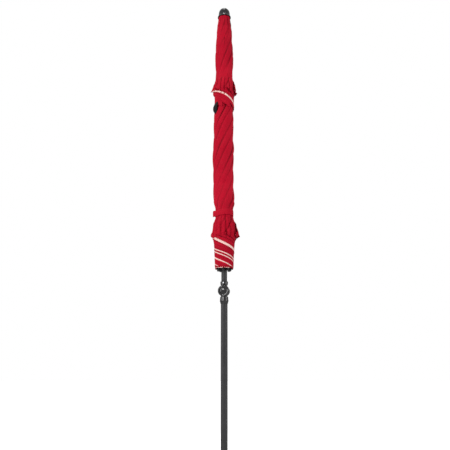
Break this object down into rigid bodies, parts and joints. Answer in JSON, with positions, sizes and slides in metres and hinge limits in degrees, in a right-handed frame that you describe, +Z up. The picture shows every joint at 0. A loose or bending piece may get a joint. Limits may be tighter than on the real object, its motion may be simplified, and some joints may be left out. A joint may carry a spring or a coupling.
{
  "type": "patio umbrella",
  "caption": "Furled patio umbrella with a two-tier red canopy, dark two-part pole, round push-button tilt joint, domed finial and a weighted round base",
  "frame": {"origin": "on the ground under the middle of the round base", "axes": "+Z up along the pole; the tilt joint's push button faces -Y and the clamp knob faces +X"},
  "size_m": [0.48, 0.48, 2.91],
  "materials": {
    "base_stone": "cast, fine grain",
    "foot_rubber": "matt",
    "steel_coated": "satin powder coat",
    "pole_coated": "anthracite satin powder coat",
    "zinc_steel": "zinc plated",
    "dark_plastic": "fine moulded grain",
    "gloss_dark": "smooth",
    "canopy_cloth": "plain woven polyester",
    "strap_cloth": "plain woven polyester"
  },
  "bodies": {
    "base": {"base_weight": "base_stone", "base_feet": "foot_rubber", "base_sleeve": "steel_coated", "base_bolts": "zinc_steel"},
    "clamp_knob": {"base_clamp_knob": "dark_plastic"},
    "liner": {"base_liner": "dark_plastic"},
    "lower_pole": {"lower_tube": "pole_coated", "lower_tube_plug": "dark_plastic", "tilt_lower_knuckle": "gloss_dark", "tilt_hinge_pin": "zinc_steel", "tilt_back_cap": "dark_plastic", "tilt_screws": "zinc_steel", "tilt_cover_disc": "gloss_dark"},
    "push_button": {"tilt_button": "gloss_dark"},
    "upper_pole": {"tilt_upper_knuckle": "gloss_dark", "tilt_rivets": "zinc_steel", "upper_tube": "pole_coated", "crown_hub": "dark_plastic", "crown_pins": "zinc_steel", "finial_stud": "zinc_steel", "finial_cap": "gloss_dark", "canopy_furled": "canopy_cloth", "vent_furled": "canopy_cloth", "tie_strap": "strap_cloth"},
    "runner": {"runner_body": "dark_plastic", "runner_pins": "zinc_steel"},
    "latch": {"runner_latch": "gloss_dark"},
    "rib_arm_1": {"rib_1": "pole_coated", "rib_tip_1": "dark_plastic"},
    "strut_arm_1": {"strut_1": "pole_coated"},
    "gore_1": {"canopy_panel_1": "canopy_cloth"},
    "rib_arm_2": {"rib_2": "pole_coated", "rib_tip_2": "dark_plastic"},
    "strut_arm_2": {"strut_2": "pole_coated"},
    "gore_2": {"canopy_panel_2": "canopy_cloth"},
    "rib_arm_3": {"rib_3": "pole_coated", "rib_tip_3": "dark_plastic"},
    "strut_arm_3": {"strut_3": "pole_coated"},
    "gore_3": {"canopy_panel_3": "canopy_cloth"},
    "rib_arm_4": {"rib_4": "pole_coated", "rib_tip_4": "dark_plastic"},
    "strut_arm_4": {"strut_4": "pole_coated"},
    "gore_4": {"canopy_panel_4": "canopy_cloth"},
    "rib_arm_5": {"rib_5": "pole_coated", "rib_tip_5": "dark_plastic"},
    "strut_arm_5": {"strut_5": "pole_coated"},
    "gore_5": {"canopy_panel_5": "canopy_cloth"},
    "rib_arm_6": {"rib_6": "pole_coated", "rib_tip_6": "dark_plastic"},
    "strut_arm_6": {"strut_6": "pole_coated"},
    "gore_6": {"canopy_panel_6": "canopy_cloth"},
    "rib_arm_7": {"rib_7": "pole_coated", "rib_tip_7": "dark_plastic"},
    "strut_arm_7": {"strut_7": "pole_coated"},
    "gore_7": {"canopy_panel_7": "canopy_cloth"},
    "rib_arm_8": {"rib_8": "pole_coated", "rib_tip_8": "dark_plastic"},
    "strut_arm_8": {"strut_8": "pole_coated"},
    "gore_8": {"canopy_panel_8": "canopy_cloth"}
  },
  "joints": [
    {"name": "base_turn", "type": "hinge", "parent": "base", "child": "liner", "pos_m": [0, 0, 0.1], "axis": [0, 0, 1], "continuous": true},
    {"name": "pole_lift", "type": "slide", "parent": "liner", "child": "lower_pole", "axis": [0, 0, 1], "range_m": [0, 0.1]},
    {"name": "clamp_turn", "type": "hinge", "parent": "base", "child": "clamp_knob", "pos_m": [0.03, 0, 0.205], "axis": [1, 0, 0], "range_deg": [0, 720]},
    {"name": "pole_tilt", "type": "hinge", "parent": "lower_pole", "child": "upper_pole", "pos_m": [0, 0, 1.105], "axis": [0, 1, 0], "range_deg": [-35, 35]},
    {"name": "button_press", "type": "slide", "parent": "lower_pole", "child": "push_button", "axis": [0, 1, 0], "range_m": [0, 0.0032], "stiffness_N_per_m": 600},
    {"name": "canopy_open", "type": "hinge", "parent": "upper_pole", "child": "rib_arm_1", "pos_m": [0.024, 0, 2.812], "axis": [0, -1, 0], "range_deg": [0, 70], "deforming": ["canopy_furled", "vent_furled", "tie_strap"]},
    {"name": "strut_swing_1", "type": "hinge", "parent": "rib_arm_1", "child": "strut_arm_1", "pos_m": [0.024, 0, 2.222], "axis": [0, -1, 0], "range_deg": [-140, 0]},
    {"name": "gore_fold_1", "type": "hinge", "parent": "rib_arm_1", "child": "gore_1", "pos_m": [0.0401, 0.0099, 2.81796], "axis": [0.9901, 0.1403, 0], "range_deg": [0, 42.15]},
    {"name": "rib_swing_2", "type": "hinge", "parent": "upper_pole", "child": "rib_arm_2", "pos_m": [0.01697, 0.01697, 2.812], "axis": [0.7071, -0.7071, 0], "range_deg": [0, 70]},
    {"name": "strut_swing_2", "type": "hinge", "parent": "rib_arm_2", "child": "strut_arm_2", "pos_m": [0.01697, 0.01697, 2.222], "axis": [0.7071, -0.7071, 0], "range_deg": [-140, 0]},
    {"name": "gore_fold_2", "type": "hinge", "parent": "rib_arm_2", "child": "gore_2", "pos_m": [0.02135, 0.03535, 2.81796], "axis": [0.6009, 0.7993, 0], "range_deg": [0, 42.15]},
    {"name": "rib_swing_3", "type": "hinge", "parent": "upper_pole", "child": "rib_arm_3", "pos_m": [0, 0.024, 2.812], "axis": [1, 0, 0], "range_deg": [0, 70]},
    {"name": "strut_swing_3", "type": "hinge", "parent": "rib_arm_3", "child": "strut_arm_3", "pos_m": [0, 0.024, 2.222], "axis": [1, 0, 0], "range_deg": [-140, 0]},
    {"name": "gore_fold_3", "type": "hinge", "parent": "rib_arm_3", "child": "gore_3", "pos_m": [-0.0099, 0.0401, 2.81796], "axis": [-0.1403, 0.9901, 0], "range_deg": [0, 42.15]},
    {"name": "rib_swing_4", "type": "hinge", "parent": "upper_pole", "child": "rib_arm_4", "pos_m": [-0.01697, 0.01697, 2.812], "axis": [0.7071, 0.7071, 0], "range_deg": [0, 70]},
    {"name": "strut_swing_4", "type": "hinge", "parent": "rib_arm_4", "child": "strut_arm_4", "pos_m": [-0.01697, 0.01697, 2.222], "axis": [0.7071, 0.7071, 0], "range_deg": [-140, 0]},
    {"name": "gore_fold_4", "type": "hinge", "parent": "rib_arm_4", "child": "gore_4", "pos_m": [-0.03535, 0.02135, 2.81796], "axis": [-0.7993, 0.6009, 0], "range_deg": [0, 42.15]},
    {"name": "rib_swing_5", "type": "hinge", "parent": "upper_pole", "child": "rib_arm_5", "pos_m": [-0.024, 0, 2.812], "axis": [0, 1, 0], "range_deg": [0, 70]},
    {"name": "strut_swing_5", "type": "hinge", "parent": "rib_arm_5", "child": "strut_arm_5", "pos_m": [-0.024, 0, 2.222], "axis": [0, 1, 0], "range_deg": [-140, 0]},
    {"name": "gore_fold_5", "type": "hinge", "parent": "rib_arm_5", "child": "gore_5", "pos_m": [-0.0401, -0.0099, 2.81796], "axis": [-0.9901, -0.1403, 0], "range_deg": [0, 42.15]},
    {"name": "rib_swing_6", "type": "hinge", "parent": "upper_pole", "child": "rib_arm_6", "pos_m": [-0.01697, -0.01697, 2.812], "axis": [-0.7071, 0.7071, 0], "range_deg": [0, 70]},
    {"name": "strut_swing_6", "type": "hinge", "parent": "rib_arm_6", "child": "strut_arm_6", "pos_m": [-0.01697, -0.01697, 2.222], "axis": [-0.7071, 0.7071, 0], "range_deg": [-140, 0]},
    {"name": "gore_fold_6", "type": "hinge", "parent": "rib_arm_6", "child": "gore_6", "pos_m": [-0.02135, -0.03535, 2.81796], "axis": [-0.6009, -0.7993, 0], "range_deg": [0, 42.15]},
    {"name": "rib_swing_7", "type": "hinge", "parent": "upper_pole", "child": "rib_arm_7", "pos_m": [0, -0.024, 2.812], "axis": [-1, 0, 0], "range_deg": [0, 70]},
    {"name": "strut_swing_7", "type": "hinge", "parent": "rib_arm_7", "child": "strut_arm_7", "pos_m": [0, -0.024, 2.222], "axis": [-1, 0, 0], "range_deg": [-140, 0]},
    {"name": "gore_fold_7", "type": "hinge", "parent": "rib_arm_7", "child": "gore_7", "pos_m": [0.0099, -0.0401, 2.81796], "axis": [0.1403, -0.9901, 0], "range_deg": [0, 42.15]},
    {"name": "rib_swing_8", "type": "hinge", "parent": "upper_pole", "child": "rib_arm_8", "pos_m": [0.01697, -0.01697, 2.812], "axis": [-0.7071, -0.7071, 0], "range_deg": [0, 70]},
    {"name": "strut_swing_8", "type": "hinge", "parent": "rib_arm_8", "child": "strut_arm_8", "pos_m": [0.01697, -0.01697, 2.222], "axis": [-0.7071, -0.7071, 0], "range_deg": [-140, 0]},
    {"name": "gore_fold_8", "type": "hinge", "parent": "rib_arm_8", "child": "gore_8", "pos_m": [0.03535, -0.02135, 2.81796], "axis": [0.7993, -0.6009, 0], "range_deg": [0, 42.15]},
    {"name": "runner_level", "type": "hinge", "parent": "strut_arm_1", "child": "runner", "pos_m": [0.024, 0, 1.632], "axis": [0, -1, 0], "range_deg": [0, 70]},
    {"name": "latch_press", "type": "slide", "parent": "runner", "child": "latch", "axis": [-0.9239, -0.3827, 0], "range_m": [0, 0.002], "stiffness_N_per_m": 400}
  ],
  "couplings": [
    {"joint": "strut_swing_1", "follows": "canopy_open", "ratio": -2},
    {"joint": "gore_fold_1", "follows": "canopy_open", "ratio": 0.60217},
    {"joint": "rib_swing_2", "follows": "canopy_open", "ratio": 1},
    {"joint": "strut_swing_2", "follows": "canopy_open", "ratio": -2},
    {"joint": "gore_fold_2", "follows": "canopy_open", "ratio": 0.60217},
    {"joint": "rib_swing_3", "follows": "canopy_open", "ratio": 1},
    {"joint": "strut_swing_3", "follows": "canopy_open", "ratio": -2},
    {"joint": "gore_fold_3", "follows": "canopy_open", "ratio": 0.60217},
    {"joint": "rib_swing_4", "follows": "canopy_open", "ratio": 1},
    {"joint": "strut_swing_4", "follows": "canopy_open", "ratio": -2},
    {"joint": "gore_fold_4", "follows": "canopy_open", "ratio": 0.60217},
    {"joint": "rib_swing_5", "follows": "canopy_open", "ratio": 1},
    {"joint": "strut_swing_5", "follows": "canopy_open", "ratio": -2},
    {"joint": "gore_fold_5", "follows": "canopy_open", "ratio": 0.60217},
    {"joint": "rib_swing_6", "follows": "canopy_open", "ratio": 1},
    {"joint": "strut_swing_6", "follows": "canopy_open", "ratio": -2},
    {"joint": "gore_fold_6", "follows": "canopy_open", "ratio": 0.60217},
    {"joint": "rib_swing_7", "follows": "canopy_open", "ratio": 1},
    {"joint": "strut_swing_7", "follows": "canopy_open", "ratio": -2},
    {"joint": "gore_fold_7", "follows": "canopy_open", "ratio": 0.60217},
    {"joint": "rib_swing_8", "follows": "canopy_open", "ratio": 1},
    {"joint": "strut_swing_8", "follows": "canopy_open", "ratio": -2},
    {"joint": "gore_fold_8", "follows": "canopy_open", "ratio": 0.60217},
    {"joint": "runner_level", "follows": "canopy_open", "ratio": 1}
  ]
}
